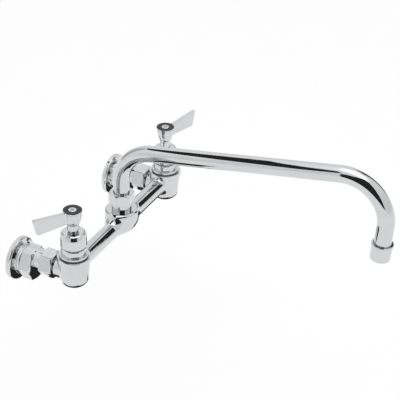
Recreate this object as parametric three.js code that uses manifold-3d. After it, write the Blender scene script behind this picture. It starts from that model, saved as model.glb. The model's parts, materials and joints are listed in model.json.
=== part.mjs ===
// Wall-mounted kitchen faucet with two lever handles and a swinging tube spout.
// Millimetres and degrees, +Z up. The wall is the plane Y = 0 and the room lies along -Y. X runs along
// the bridge bar, and X = 0 is the spout's axis. Z = 0 is the level of the two supply pipes.
import * as THREE from "three";
import { mergeVertices } from "three/addons/utils/BufferGeometryUtils.js";
import Module from "manifold-3d";

const wasm = await Module();
wasm.setup();

// ---- Driving dimensions ----------------------------------------------------------------------------

// Layout
const CENTRES = 203.2; // between the two valve axes, 8 in
const WALL_TO_AXIS = 73; // from the wall to the valve axes
const ECCENTRICITY = 6.35; // inlet union above the supply pipe
const BAR_ABOVE_UNION = 6.25; // bridge bar's axis above the inlet union's

// Clearances
const SEAT_GAP = 0.3; // between faces that seat on each other
const THREAD_GAP = 0.3; // on the radius, between mating threads and other fixed fits
const RUNNING_GAP = 0.3; // on the radius, round pieces that turn

// Facets of round pieces
const SIDES = 28;
const SMALL_SIDES = 16;
const TINY_SIDES = 8;
const TUBE_SIDES = 20;

// Valve housings, cup shaped
const RIM_R = 18.4;
const RIM_ABOVE_BAR = 13.9;
const RIM_BAND = 5.5; // height of the straight band under the rim
const RIM_EDGE = 0.8;
const CUP_UPPER_R = 17.9; // just under the band
const CUP_MIDDLE_R = 16.6; // level with the inlet union
const CUP_LOWER_R = 14.8; // where the rounded bottom starts
const CUP_BOTTOM_ROUND = 7.6; // height of the rounded bottom
const CUP_FLAT_R = 7; // flat in the middle of the bottom
const CUP_BELOW_BAR = 22.4; // bottom below the bar's axis
const CUP_FLOOR = 3.3; // thickness of the bottom
const CHAMBER_R = 8; // inlet chamber under the seat
const SEAT_BELOW_BAR = 5.6; // seat's face below the bar's axis
const SEAT_WEB = 2.5; // thickness of the seat's web
const SEAT_HOLE_R = 5.3;

// Bridge bar
const BAR_R = 9.45;
const BAR_BORE_R = 5.5;

// Inlet stubs behind the housings
const STUB_R = 12.5;
const STUB_REACH = 20.5; // from the valve axis to the stub's face
const STUB_EDGE = 1.5;
const STUB_THREAD_DEPTH = 7.5;
const PASSAGE_R = 4; // slanting passage from the stub to the chamber
const PASSAGE_LEAD = 2; // the passage's start, inside the threaded hole
const PASSAGE_TOP_BELOW_UNION = 4.6;
const PASSAGE_END_BELOW_UNION = 8.6;

// Centre boss and its neck
const BOSS_R = 19.2;
const BOSS_ABOVE_BAR = 17.4;
const BOSS_TOP_ROUND = 3;
const BOSS_BELOW_BAR = 10.2;
const BOSS_BOTTOM_ROUND = 18.4; // height of the rounded bottom
const BOSS_FLAT_R = 2;
const BOSS_FLOOR = 5;
const NECK_R = 11.5; // male thread for the spout nut
const NECK_LENGTH = 16;

// Inlet unions: tailpiece, washer and nut
const TAILPIECE_R = 8.5;
const TAILPIECE_BORE_R = 6;
const TAILPIECE_END_GAP = 0.4; // its inner end to the bottom of the threaded hole
const TAIL_FLANGE_R = 11.5;
const TAIL_FLANGE = 3.2; // thickness
const UNION_WASHER = 2; // thickness
const UNION_WASHER_R = 11.2;
const COUPLING_AF = 28.6; // hexagon across flats
const COUPLING_LENGTH = 15.5;
const COUPLING_LIP = 2.5;
const COUPLING_STANDOFF = 1.5; // nut to the stub's face
const COUPLING_CHAMFER = 1.4;
const COUPLING_TURN = 20;

// Eccentric inlets
const NOSE_R = 11.7; // male thread for the coupling nut
const NOSE_BORE_R = 7;
const INLET_AF = 34.5; // hexagon across flats
const INLET_HEX = 14.7; // length of the hexagon
const INLET_CHAMFER = 1.2;
const INLET_TURN = 30;
const INLET_TO_FLANGE = 0.5; // the loose wall flange's gap to the hexagon
const SOCKET_R = 13.5; // round pipe socket inside the wall flange
const SOCKET_TO_WALL = 1;
const PIPE_BORE_R = 9.5; // female thread for the supply pipe

// Wall flanges
const FLANGE_R = 24.5;
const FLANGE_HEIGHT = 11.7;
const FLANGE_RIM = 3.2; // straight height of the rim
const FLANGE_RIM_ROUND = 2.2;
const FLANGE_DISH_R = 19; // where the face starts to rise
const FLANGE_DISH = 0.8; // rise of the face from the rim to there
const FLANGE_COLLAR_R = 16.6;
const FLANGE_COLLAR_TAPER = 0.6;

// Cartridge: seal, discs and stem
const SEAL_R = 6.7;
const SEAL_WALL = 1.1;
const SEAL_HEIGHT = 3.7;
const DISC_R = 6.7;
const DISC = 2.7; // thickness of each ceramic disc
const PORT_R = 1.6;
const PORT_OFFSET = 3.8;
const KEY_WIDTH = 3;
const KEY_LENGTH = 9;
const KEY_HEIGHT = 1.2;
const FOOT_R = 6.4;
const FOOT = 3.2; // thickness
const SHAFT_R = 4.2;
const LAND_R = 5.7;
const LAND_LENGTH = 12;
const LAND_BELOW_TOP = 4; // top of the land below the bonnet's top
const STEM_NECK_R = 4.8;
const STEM_SQUARE = 6.4;
const STEM_SQUARE_LENGTH = 16.1;
const STEM_RING = 1.2; // section of the stem's rubber ring
const STEM_RING_ABOVE_LAND = 5.4; // middle of the ring above the land's lower end

// Bonnet and its cap
const BONNET_WASHER = 1;
const BONNET_WASHER_R = 15.6;
const COLLAR_R = 16;
const COLLAR = 2.2; // thickness
const BONNET_THREAD_R = 11.1;
const BONNET_THREAD_LENGTH = 9.1;
const BARREL_R = 9.6;
const BARREL_STANDOFF = 1; // barrel's end above the seat
const WINDOW_WIDTH = 6;
const WINDOW_HEIGHT = 6;
const WINDOW_SILL = 4; // above the barrel's end
const NECK_HEX_AF = 23.5;
const NECK_HEX = 9.2; // height
const NECK_HEX_TURN = 39.5;
const CAP_THREAD_R = 10.4;
const CAP_R = 14.4;
const CAP_HEIGHT = 17.4;
const CAP_TOP = 4.9; // thickness of its top
const CAP_TOP_R = 11.4; // flat on top
const CAP_SHOULDER = 7.2; // height of the rounded shoulder

// Lever handles: hub and blade
const HUB_ABOVE_CAP = 2.4;
const HUB_SKIRT_R = 6.3;
const HUB_SKIRT = 6.4; // height
const HUB_WAIST_R = 8.9;
const HUB_WAIST_HEIGHT = 13.9;
const HUB_CROWN_R = 9.5;
const HUB_CROWN_HEIGHT = 20.1;
const HUB_TOP_R = 10.5;
const HUB_HEIGHT = 24.4;
const HUB_TOP_EDGE = 0.3;
const BLADE_START_R = 4;
const BLADE_ROOT_LOW = 9.7; // heights above the hub's lower end
const BLADE_ROOT_HIGH = 23.2;
const BLADE_TIP_LOW = 9;
const BLADE_TIP_HIGH = 28.7;
const BLADE_REACH_LOW = 44.3; // from the valve axis, at the lower corner
const BLADE_REACH_HIGH = 49.1;
const BLADE_CORNER_R = 2;
const BLADE = 4; // thickness
const BLADE_EDGE = 0.9;
const LEFT_LEVER_ANGLE = 154; // from +X towards +Y
const RIGHT_LEVER_ANGLE = -16;

// Index ring and handle screw, in the top of the hub
const RING_R = 9.5;
const RING_HOLE_R = 4.9;
const RING = 1.6; // thickness
const RECESS_DEPTH = 1.8;
const SCREW_HEAD_R = 4.5;
const SCREW_HEAD = 1.7; // height
const SCREW_R = 1.7;
const SCREW_LENGTH = 14;
const SCREW_END_GAP = 0.7; // under the screw's tip
const SCREW_SLOT = 0.9;
const SCREW_SLOT_LENGTH = 4.4;
const SCREW_SLOT_DEPTH = 1;

// Spout ferrule, rings, washer and nut
const FERRULE_R = 9.7;
const FERRULE_LENGTH = 27; // below its shoulder
const FERRULE_SHOULDER = 2;
const FERRULE_BORE_R = 6.1;
const FERRULE_SPIGOT = 9.7; // length inside the tube
const SPOUT_RING = 1.5; // section of the rubber rings
const SPOUT_RINGS_ABOVE_FOOT = [3.2, 12.9]; // middle of each ring
const SPOUT_WASHER = 1; // thickness
const SPOUT_NUT_AF = 25.4;
const SPOUT_NUT_THREAD = 8.3; // overlap with the neck
const SPOUT_NUT_LIP = 1.6;
const SPOUT_NUT_CHAMFER = 1.3;
const SPOUT_NUT_TURN = 34.6;

// Spout tube
const TUBE_R = 9.1;
const TUBE_WALL = 1.2;
const SPOUT_REACH = 304.8; // from the spout's axis to the tube's end, 12 in
const ARM_SLOPE = 10.2;
const ARM_CORNER_ABOVE_FOOT = 54.7; // where the arm's line meets the riser's axis
const LOWER_BEND_R = 45.5;
const UPPER_BEND_R = 44.5;
const OUTLET_BELOW_CORNER = 27.8; // tube's end below that corner
const OUTLET_LEAN = 4; // outlet leans back towards the wall
const LOWER_BEND_STEPS = 8;
const UPPER_BEND_STEPS = 10;

// Aerator
const AERATOR_RIM_R = 11.6;
const AERATOR_RIM = 3; // height of the rim
const AERATOR_R = 10.9;
const AERATOR_END_R = 10.7;
const AERATOR_EDGE = 1.5;
const AERATOR_LENGTH = 19;
const AERATOR_SOCKET = 7; // depth of the tube in the housing
const AERATOR_LEDGE = 1.7;
const AERATOR_MOUTH_R = 8;
const AERATOR_WASHER = 1.5;
const AERATOR_WASHER_WALL = 2;
const INSERT_PLATE = 3; // thickness of the perforated plate
const INSERT_WALL = 1.2;
const JET_R = 0.9;
const JET_CIRCLE_R = 5.2;
const JETS = 8; // round one jet in the middle

// ---- Derived dimensions ----------------------------------------------------------------------------

const degrees = THREE.MathUtils.degToRad;
const HALF = CENTRES / 2;
const UNION_Z = ECCENTRICITY;
const BAR_Z = UNION_Z + BAR_ABOVE_UNION;

// Heights in a valve, from the housing up
const RIM_Z = BAR_Z + RIM_ABOVE_BAR;
const SEAT_Z = BAR_Z - SEAT_BELOW_BAR;
const CUP_Z = BAR_Z - CUP_BELOW_BAR;
const VALVE_BORE_R = BONNET_THREAD_R + THREAD_GAP;
const SEAL_Z = SEAT_Z + SEAT_GAP;
const LOWER_DISC_Z = SEAL_Z + SEAL_HEIGHT + SEAT_GAP;
const UPPER_DISC_Z = LOWER_DISC_Z + DISC + SEAT_GAP;
const FOOT_Z = UPPER_DISC_Z + DISC + SEAT_GAP;
const FOOT_TOP_Z = FOOT_Z + FOOT;
const BONNET_WASHER_Z = RIM_Z + SEAT_GAP;
const COLLAR_Z = BONNET_WASHER_Z + BONNET_WASHER + SEAT_GAP;
const NECK_HEX_Z = COLLAR_Z + COLLAR;
const NECK_HEX_TOP_Z = NECK_HEX_Z + NECK_HEX;
const CAP_Z = NECK_HEX_TOP_Z + SEAT_GAP;
const CAP_TOP_Z = CAP_Z + CAP_HEIGHT;
const CAP_CEILING_Z = CAP_TOP_Z - CAP_TOP;
const BONNET_TOP_Z = CAP_CEILING_Z - SEAT_GAP;
const LAND_TOP_Z = BONNET_TOP_Z - LAND_BELOW_TOP;
const LAND_Z = LAND_TOP_Z - LAND_LENGTH;
const HUB_Z = CAP_TOP_Z + HUB_ABOVE_CAP;
const HUB_TOP_Z = HUB_Z + HUB_HEIGHT;
const STEM_SHOULDER_Z = HUB_Z - SEAT_GAP;
const STEM_TOP_Z = STEM_SHOULDER_Z + STEM_SQUARE_LENGTH;
const HUB_HOLE_TOP_Z = STEM_TOP_Z + SEAT_GAP;
const RECESS_Z = HUB_TOP_Z - RECESS_DEPTH;
const RING_Z = RECESS_Z + SEAT_GAP;

// Distances from the valve axis towards the wall, along an inlet
const STUB_HOLE_Y = STUB_REACH - STUB_THREAD_DEPTH;
const COUPLING_Y = STUB_REACH + COUPLING_STANDOFF;
const TAIL_FLANGE_Y = COUPLING_Y + COUPLING_LIP + SEAT_GAP;
const TAIL_FLANGE_END_Y = TAIL_FLANGE_Y + TAIL_FLANGE;
const UNION_WASHER_Y = TAIL_FLANGE_END_Y + SEAT_GAP;
const NOSE_Y = UNION_WASHER_Y + UNION_WASHER + SEAT_GAP;
const INLET_HEX_END_Y = WALL_TO_AXIS - FLANGE_HEIGHT - INLET_TO_FLANGE;
const INLET_HEX_Y = INLET_HEX_END_Y - INLET_HEX;
const INLET_BEND_Y = (INLET_HEX_Y + INLET_HEX_END_Y) / 2; // where the two offset bores meet
const SOCKET_Y = INLET_HEX_END_Y + SEAT_GAP;
const SOCKET_END_Y = WALL_TO_AXIS - SOCKET_TO_WALL;

// Heights on the spout's axis
const BOSS_Z = BAR_Z - BOSS_BELOW_BAR;
const BOSS_TOP_Z = BAR_Z + BOSS_ABOVE_BAR;
const NECK_TOP_Z = BOSS_TOP_Z + NECK_LENGTH;
const SPOUT_BORE_R = FERRULE_R + RUNNING_GAP;
const SHOULDER_Z = NECK_TOP_Z + SEAT_GAP;
const SHOULDER_TOP_Z = SHOULDER_Z + FERRULE_SHOULDER;
const FERRULE_Z = SHOULDER_Z - FERRULE_LENGTH;
const SPOUT_WASHER_Z = SHOULDER_TOP_Z + SEAT_GAP;
const SPOUT_NUT_Z = NECK_TOP_Z - SPOUT_NUT_THREAD;
const SPOUT_NUT_LIP_Z = SPOUT_WASHER_Z + SPOUT_WASHER + SEAT_GAP;
const SPOUT_NUT_TOP_Z = SPOUT_NUT_LIP_Z + SPOUT_NUT_LIP;
const TUBE_Z = SHOULDER_TOP_Z + SEAT_GAP;
const TUBE_BORE_R = TUBE_R - TUBE_WALL;
const TUBE_END_Z = TUBE_Z + ARM_CORNER_ABOVE_FOOT - OUTLET_BELOW_CORNER;

// Heights along the outlet, from the tube's end
const AERATOR_Z = AERATOR_SOCKET - AERATOR_LENGTH;
const AERATOR_BORE_R = TUBE_R + THREAD_GAP;
const AERATOR_LEDGE_Z = AERATOR_Z + AERATOR_LEDGE;
const AERATOR_WASHER_Z = -SEAT_GAP - AERATOR_WASHER;
const INSERT_TOP_Z = AERATOR_WASHER_Z - SEAT_GAP;
const INSERT_Z = AERATOR_LEDGE_Z + SEAT_GAP;

// ---- Finishes --------------------------------------------------------------------------------------

function finish(color, roughness, metalness) {
  return new THREE.MeshStandardMaterial({ color, roughness, metalness });
}
const CHROME = finish(0xd4d6d8, 0.08, 1);
const BRASS = finish(0xb8955a, 0.35, 1);
const RUBBER = finish(0x1a1a1b, 0.7, 0);
const NYLON = finish(0xe4e2da, 0.5, 0);
const CERAMIC = finish(0xf0eee9, 0.25, 0);
const FIBRE = finish(0x3a3632, 0.85, 0);
const DARK_RING = finish(0x1c1d1f, 0.3, 0);
const INSERT = finish(0x9a9c9e, 0.45, 0);

// ---- Geometry helpers ------------------------------------------------------------------------------

// Closed solid turned about +Z from [radius, height] points. A profile that is off the axis at either
// end closes on itself.
function revolve(profile, sides = SIDES) {
  const loop = profile[0][0] > 0 || profile.at(-1)[0] > 0 ? [...profile, profile[0]] : [...profile];
  let turn = 0;
  for (let i = 0; i < loop.length; i += 1) {
    const [r0, z0] = loop[i];
    const [r1, z1] = loop[(i + 1) % loop.length];
    turn += r0 * z1 - r1 * z0;
  }
  if (turn < 0) loop.reverse();
  const points = loop.map(([r, z]) => new THREE.Vector2(r, z));
  return new THREE.LatheGeometry(points, sides).rotateX(Math.PI / 2);
}

// Solid cylinder on the Z axis.
function rod(radius, from, to, sides = SMALL_SIDES) {
  return revolve([[0, from], [radius, from], [radius, to], [0, to]], sides);
}

// Cylinder with a hole through it, on the Z axis.
function ring(innerR, outerR, from, to, sides = SMALL_SIDES) {
  return revolve([[innerR, from], [outerR, from], [outerR, to], [innerR, to]], sides);
}

// Round-section ring on the Z axis.
function roundRing(middleR, section, z, sides = SMALL_SIDES) {
  const profile = [];
  for (let k = 0; k < 6; k += 1) {
    const angle = (k * Math.PI) / 3;
    profile.push([middleR + (section / 2) * Math.cos(angle), z + (section / 2) * Math.sin(angle)]);
  }
  return revolve(profile, sides);
}

// Hexagonal prism on the Z axis, its corners cut back by a cone at the ends that have a chamfer.
function hexPrism(acrossFlats, from, to, turn, chamferFrom, chamferTo) {
  const corner = acrossFlats / Math.sqrt(3);
  const cone = (acrossFlats / 2) * 0.98;
  const prism = solid(rod(corner, from, to, 6).rotateZ(degrees(turn)));
  const profile = [[0, from], [chamferFrom ? cone : corner + 1, from]];
  if (chamferFrom) profile.push([corner + 0.1, from + chamferFrom]);
  if (chamferTo) profile.push([corner + 0.1, to - chamferTo]);
  profile.push([chamferTo ? cone : corner + 1, to], [0, to]);
  return prism.intersect(solid(revolve(profile)));
}

// Turns a geometry on the Z axis so that its heights run along +Y.
function alongY(geometry) {
  return geometry.rotateX(-Math.PI / 2);
}

// Turns a geometry on the Z axis so that its heights run along +X.
function alongX(geometry) {
  return geometry.rotateY(Math.PI / 2);
}

// Quarter of an ellipse as [radius, height] points, between two of its axes' ends.
function quarter(centreR, centreZ, radiusR, radiusZ, fromDeg, toDeg, steps) {
  const points = [];
  for (let k = 0; k <= steps; k += 1) {
    const angle = degrees(fromDeg + ((toDeg - fromDeg) * k) / steps);
    points.push([centreR + radiusR * Math.cos(angle), centreZ + radiusZ * Math.sin(angle)]);
  }
  return points;
}

// Closed geometry to a solid that can be joined and cut.
function solid(geometry) {
  const bare = geometry.clone();
  bare.deleteAttribute("normal");
  bare.deleteAttribute("uv");
  const merged = mergeVertices(bare, 1e-4);
  return new wasm.Manifold(
    new wasm.Mesh({
      numProp: 3,
      vertProperties: merged.attributes.position.array,
      triVerts: new Uint32Array(merged.index.array),
    }),
  );
}

function geometryOf(shape) {
  const mesh = shape.getMesh();
  const geometry = new THREE.BufferGeometry();
  geometry.setAttribute("position", new THREE.BufferAttribute(mesh.vertProperties, 3));
  geometry.setIndex(new THREE.BufferAttribute(mesh.triVerts, 1));
  geometry.computeVertexNormals();
  return geometry;
}

function join(shapes) {
  return shapes.reduce((whole, shape) => whole.add(shape));
}

function cut(shape, cutters) {
  return cutters.reduce((rest, cutter) => rest.subtract(cutter), shape);
}

function piece(name, geometry, material) {
  const mesh = new THREE.Mesh(geometry, material);
  mesh.name = name;
  return mesh;
}

// ---- Body casting ----------------------------------------------------------------------------------

function housing() {
  const bottom = quarter(
    CUP_FLAT_R, CUP_Z + CUP_BOTTOM_ROUND, CUP_LOWER_R - CUP_FLAT_R, CUP_BOTTOM_ROUND, -90, 0, 5,
  );
  return revolve([
    [0, CUP_Z],
    ...bottom,
    [CUP_MIDDLE_R, UNION_Z],
    [CUP_UPPER_R, RIM_Z - RIM_BAND - RIM_EDGE / 2],
    [RIM_R, RIM_Z - RIM_BAND],
    [RIM_R, RIM_Z - RIM_EDGE],
    [RIM_R - RIM_EDGE, RIM_Z],
    [0, RIM_Z],
  ]);
}

function inletStub() {
  const stub = revolve([
    [0, 0],
    [STUB_R, 0],
    [STUB_R, STUB_REACH - STUB_EDGE],
    [STUB_R - STUB_EDGE, STUB_REACH],
    [0, STUB_REACH],
  ]);
  return alongY(stub).translate(0, 0, UNION_Z);
}

function inletPassage() {
  const start = new THREE.Vector3(0, STUB_HOLE_Y + PASSAGE_LEAD, UNION_Z - PASSAGE_TOP_BELOW_UNION);
  const end = new THREE.Vector3(0, 0, UNION_Z - PASSAGE_END_BELOW_UNION);
  const way = end.clone().sub(start);
  const up = new THREE.Vector3(0, 0, 1);
  const turn = new THREE.Quaternion().setFromUnitVectors(up, way.clone().normalize());
  return rod(PASSAGE_R, 0, way.length(), TINY_SIDES)
    .applyQuaternion(turn)
    .translate(start.x, start.y, start.z);
}

function boss() {
  const bottom = quarter(
    BOSS_FLAT_R, BOSS_Z + BOSS_BOTTOM_ROUND, BOSS_R - BOSS_FLAT_R, BOSS_BOTTOM_ROUND, -90, 0, 5,
  );
  const top = quarter(
    BOSS_R - BOSS_TOP_ROUND, BOSS_TOP_Z - BOSS_TOP_ROUND, BOSS_TOP_ROUND, BOSS_TOP_ROUND, 0, 90, 3,
  );
  return revolve([
    [0, BOSS_Z],
    ...bottom,
    ...top,
    [NECK_R, BOSS_TOP_Z],
    [NECK_R, NECK_TOP_Z],
    [0, NECK_TOP_Z],
  ]);
}

function faucetBody() {
  const bar = (radius, reach) => alongX(rod(radius, -reach, reach)).translate(0, 0, BAR_Z);
  const metal = [solid(bar(BAR_R, HALF)), solid(boss())];
  const hollows = [
    solid(bar(BAR_BORE_R, HALF)),
    solid(rod(SPOUT_BORE_R, BOSS_Z + BOSS_FLOOR, NECK_TOP_Z + 1)),
  ];
  for (const x of [-HALF, HALF]) {
    metal.push(solid(housing().translate(x, 0, 0)), solid(inletStub().translate(x, 0, 0)));
    const threadedHole = alongY(rod(TAILPIECE_R + THREAD_GAP, STUB_HOLE_Y, STUB_REACH + 1));
    const cavities = [
      rod(CHAMBER_R, CUP_Z + CUP_FLOOR, SEAT_Z - SEAT_WEB),
      rod(SEAT_HOLE_R, SEAT_Z - SEAT_WEB - 1, SEAT_Z + 1),
      rod(VALVE_BORE_R, SEAT_Z, RIM_Z + 1),
      threadedHole.translate(0, 0, UNION_Z),
      inletPassage(),
    ];
    for (const cavity of cavities) hollows.push(solid(cavity.translate(x, 0, 0)));
  }
  return geometryOf(cut(join(metal), hollows));
}

// ---- Inlet: union, eccentric adapter and wall flange, along Y --------------------------------------

function tailpiece() {
  const start = STUB_HOLE_Y + TAILPIECE_END_GAP;
  const profile = [
    [TAILPIECE_BORE_R, start],
    [TAILPIECE_R, start],
    [TAILPIECE_R, TAIL_FLANGE_Y],
    [TAIL_FLANGE_R, TAIL_FLANGE_Y],
    [TAIL_FLANGE_R, TAIL_FLANGE_END_Y],
    [TAILPIECE_BORE_R, TAIL_FLANGE_END_Y],
  ];
  return alongY(revolve(profile, SMALL_SIDES));
}

function couplingWasher() {
  return alongY(ring(TAILPIECE_BORE_R, UNION_WASHER_R, UNION_WASHER_Y, UNION_WASHER_Y + UNION_WASHER));
}

function couplingNut() {
  const end = COUPLING_Y + COUPLING_LENGTH;
  const hex = hexPrism(COUPLING_AF, COUPLING_Y, end, COUPLING_TURN, COUPLING_CHAMFER, COUPLING_CHAMFER);
  const nut = cut(hex, [
    solid(rod(TAILPIECE_R + RUNNING_GAP, COUPLING_Y - 1, end)),
    solid(rod(NOSE_R + THREAD_GAP, COUPLING_Y + COUPLING_LIP, end + 1)),
  ]);
  return alongY(geometryOf(nut));
}

// Hexagon on the supply pipe's axis, with the nose above it and an offset waterway through both.
function eccentricInlet() {
  const hex = hexPrism(INLET_AF, INLET_HEX_Y, INLET_HEX_END_Y, INLET_TURN, INLET_CHAMFER, INLET_CHAMFER);
  const offset = (geometry) => geometry.translate(0, -ECCENTRICITY, 0);
  const metal = join([hex, solid(offset(rod(NOSE_R, NOSE_Y, INLET_HEX_Y + 1)))]);
  const inlet = cut(metal, [
    solid(offset(rod(NOSE_BORE_R, NOSE_Y - 1, INLET_BEND_Y + NOSE_BORE_R / 2))),
    solid(rod(NOSE_BORE_R, INLET_BEND_Y, INLET_HEX_END_Y + 1)),
  ]);
  return alongY(geometryOf(inlet));
}

function inletSocket() {
  return alongY(ring(PIPE_BORE_R, SOCKET_R, SOCKET_Y, SOCKET_END_Y));
}

function wallFlange() {
  const face = FLANGE_RIM + FLANGE_RIM_ROUND;
  const rise = face + FLANGE_DISH;
  const bore = SOCKET_R + THREAD_GAP;
  const rim = quarter(
    FLANGE_R - FLANGE_RIM_ROUND, FLANGE_RIM, FLANGE_RIM_ROUND, FLANGE_RIM_ROUND, 0, 90, 3,
  );
  const profile = [
    [bore, 0],
    [FLANGE_R, 0],
    ...rim,
    [FLANGE_DISH_R, rise],
    [FLANGE_COLLAR_R + FLANGE_COLLAR_TAPER, rise + (FLANGE_DISH_R - FLANGE_COLLAR_R) / 2],
    [FLANGE_COLLAR_R, FLANGE_HEIGHT - FLANGE_COLLAR_TAPER],
    [FLANGE_COLLAR_R - FLANGE_COLLAR_TAPER, FLANGE_HEIGHT],
    [bore, FLANGE_HEIGHT],
  ];
  const fromWall = profile.map(([r, height]) => [r, WALL_TO_AXIS - height]);
  return alongY(revolve(fromWall));
}

// ---- Valve: bonnet, cap and cartridge --------------------------------------------------------------

function bonnet() {
  const barrelZ = SEAT_Z + BARREL_STANDOFF;
  const threadZ = COLLAR_Z - BONNET_THREAD_LENGTH;
  const turned = revolve([
    [0, barrelZ],
    [BARREL_R, barrelZ],
    [BARREL_R, threadZ],
    [BONNET_THREAD_R, threadZ],
    [BONNET_THREAD_R, COLLAR_Z],
    [COLLAR_R, COLLAR_Z],
    [COLLAR_R, NECK_HEX_Z],
    [CAP_THREAD_R, NECK_HEX_Z],
    [CAP_THREAD_R, BONNET_TOP_Z],
    [0, BONNET_TOP_Z],
  ], SMALL_SIDES);
  const hex = hexPrism(NECK_HEX_AF, NECK_HEX_Z - COLLAR / 2, NECK_HEX_TOP_Z, NECK_HEX_TURN, 0, 0);
  const sill = barrelZ + WINDOW_SILL;
  const window = new THREE.BoxGeometry(2 * VALVE_BORE_R, WINDOW_WIDTH, WINDOW_HEIGHT);
  const shape = cut(join([solid(turned), hex]), [
    solid(rod(DISC_R + THREAD_GAP, barrelZ - 1, FOOT_TOP_Z + SEAT_GAP)),
    solid(rod(LAND_R + RUNNING_GAP, FOOT_Z, BONNET_TOP_Z + 1)),
    solid(window.translate(0, 0, sill + WINDOW_HEIGHT / 2)),
  ]);
  return geometryOf(shape);
}

function bonnetCap() {
  const shoulder = quarter(
    CAP_TOP_R, CAP_TOP_Z - CAP_SHOULDER, CAP_R - CAP_TOP_R, CAP_SHOULDER, 0, 90, 4,
  );
  const bore = CAP_THREAD_R + THREAD_GAP;
  const hole = STEM_NECK_R + RUNNING_GAP;
  return revolve([
    [bore, CAP_Z],
    [CAP_R, CAP_Z],
    ...shoulder,
    [hole, CAP_TOP_Z],
    [hole, CAP_CEILING_Z],
    [bore, CAP_CEILING_Z],
  ]);
}

function bonnetWasher() {
  const inner = BONNET_THREAD_R + THREAD_GAP;
  return ring(inner, BONNET_WASHER_R, BONNET_WASHER_Z, BONNET_WASHER_Z + BONNET_WASHER);
}

function seatSeal() {
  return ring(SEAL_R - SEAL_WALL, SEAL_R, SEAL_Z, SEAL_Z + SEAL_HEIGHT);
}

// Two round ports, on the Y axis in the lower disc and on the X axis in the upper one.
function ports(z, onX) {
  return [-PORT_OFFSET, PORT_OFFSET].map((offset) => {
    const port = rod(PORT_R, z - 1, z + DISC + 1, TINY_SIDES);
    return solid(onX ? port.translate(offset, 0, 0) : port.translate(0, offset, 0));
  });
}

function lowerDisc() {
  const disc = solid(rod(DISC_R, LOWER_DISC_Z, LOWER_DISC_Z + DISC));
  return geometryOf(cut(disc, ports(LOWER_DISC_Z, false)));
}

function upperDisc() {
  const top = UPPER_DISC_Z + DISC;
  const disc = solid(rod(DISC_R, UPPER_DISC_Z, top));
  const width = KEY_WIDTH + 2 * SEAT_GAP;
  const length = KEY_LENGTH + 2 * SEAT_GAP;
  const slot = new THREE.BoxGeometry(width, length, 2 * KEY_HEIGHT).translate(0, 0, top);
  return geometryOf(cut(disc, [...ports(UPPER_DISC_Z, true), solid(slot)]));
}

function stem() {
  const groove = LAND_R - STEM_RING - THREAD_GAP;
  const ringZ = LAND_Z + STEM_RING_ABOVE_LAND;
  const halfGroove = STEM_RING / 2 + SEAT_GAP;
  const turned = revolve([
    [0, FOOT_Z],
    [FOOT_R, FOOT_Z],
    [FOOT_R, FOOT_TOP_Z],
    [SHAFT_R, FOOT_TOP_Z],
    [SHAFT_R, LAND_Z],
    [LAND_R, LAND_Z],
    [LAND_R, ringZ - halfGroove],
    [groove, ringZ - halfGroove],
    [groove, ringZ + halfGroove],
    [LAND_R, ringZ + halfGroove],
    [LAND_R, LAND_TOP_Z],
    [STEM_NECK_R, LAND_TOP_Z],
    [STEM_NECK_R, STEM_SHOULDER_Z],
    [0, STEM_SHOULDER_Z],
  ], SMALL_SIDES);
  const square = new THREE.BoxGeometry(STEM_SQUARE, STEM_SQUARE, STEM_SQUARE_LENGTH + 1);
  const key = new THREE.BoxGeometry(KEY_WIDTH, KEY_LENGTH, KEY_HEIGHT + FOOT / 2);
  const metal = join([
    solid(turned),
    solid(square.translate(0, 0, STEM_TOP_Z - (STEM_SQUARE_LENGTH + 1) / 2)),
    solid(key.translate(0, 0, FOOT_Z + FOOT / 2 - (KEY_HEIGHT - SEAT_GAP + FOOT / 2) / 2)),
  ]);
  const tip = RECESS_Z + SEAT_GAP - SCREW_LENGTH - SCREW_END_GAP;
  return geometryOf(cut(metal, [solid(rod(SCREW_R + THREAD_GAP, tip, STEM_TOP_Z + 1, TINY_SIDES))]));
}

function stemRing() {
  return roundRing(LAND_R - STEM_RING / 2, STEM_RING, LAND_Z + STEM_RING_ABOVE_LAND);
}

// ---- Lever handle, its ring and its screw ----------------------------------------------------------

// Outline of the blade as a shape in the plane of its face, with the two tip corners rounded.
function bladeShape() {
  const corners = [
    [BLADE_START_R, HUB_Z + BLADE_ROOT_LOW],
    [BLADE_REACH_LOW, HUB_Z + BLADE_TIP_LOW],
    [BLADE_REACH_HIGH, HUB_Z + BLADE_TIP_HIGH],
    [BLADE_START_R, HUB_Z + BLADE_ROOT_HIGH],
  ].map(([r, z]) => new THREE.Vector2(r, z));
  const shape = new THREE.Shape();
  shape.moveTo(corners[0].x, corners[0].y);
  for (const i of [1, 2]) {
    const before = corners[i - 1].clone().sub(corners[i]).normalize();
    const after = corners[i + 1].clone().sub(corners[i]).normalize();
    const halfAngle = before.angleTo(after) / 2;
    const centre = before.clone().add(after).setLength(BLADE_CORNER_R / Math.sin(halfAngle));
    centre.add(corners[i]);
    // The arc runs from square to the edge before the corner to square to the edge after it
    const start = before.angle() + Math.PI / 2;
    shape.absarc(centre.x, centre.y, BLADE_CORNER_R, start, start + Math.PI - 2 * halfAngle, false);
  }
  shape.lineTo(corners[3].x, corners[3].y);
  return shape;
}

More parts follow.
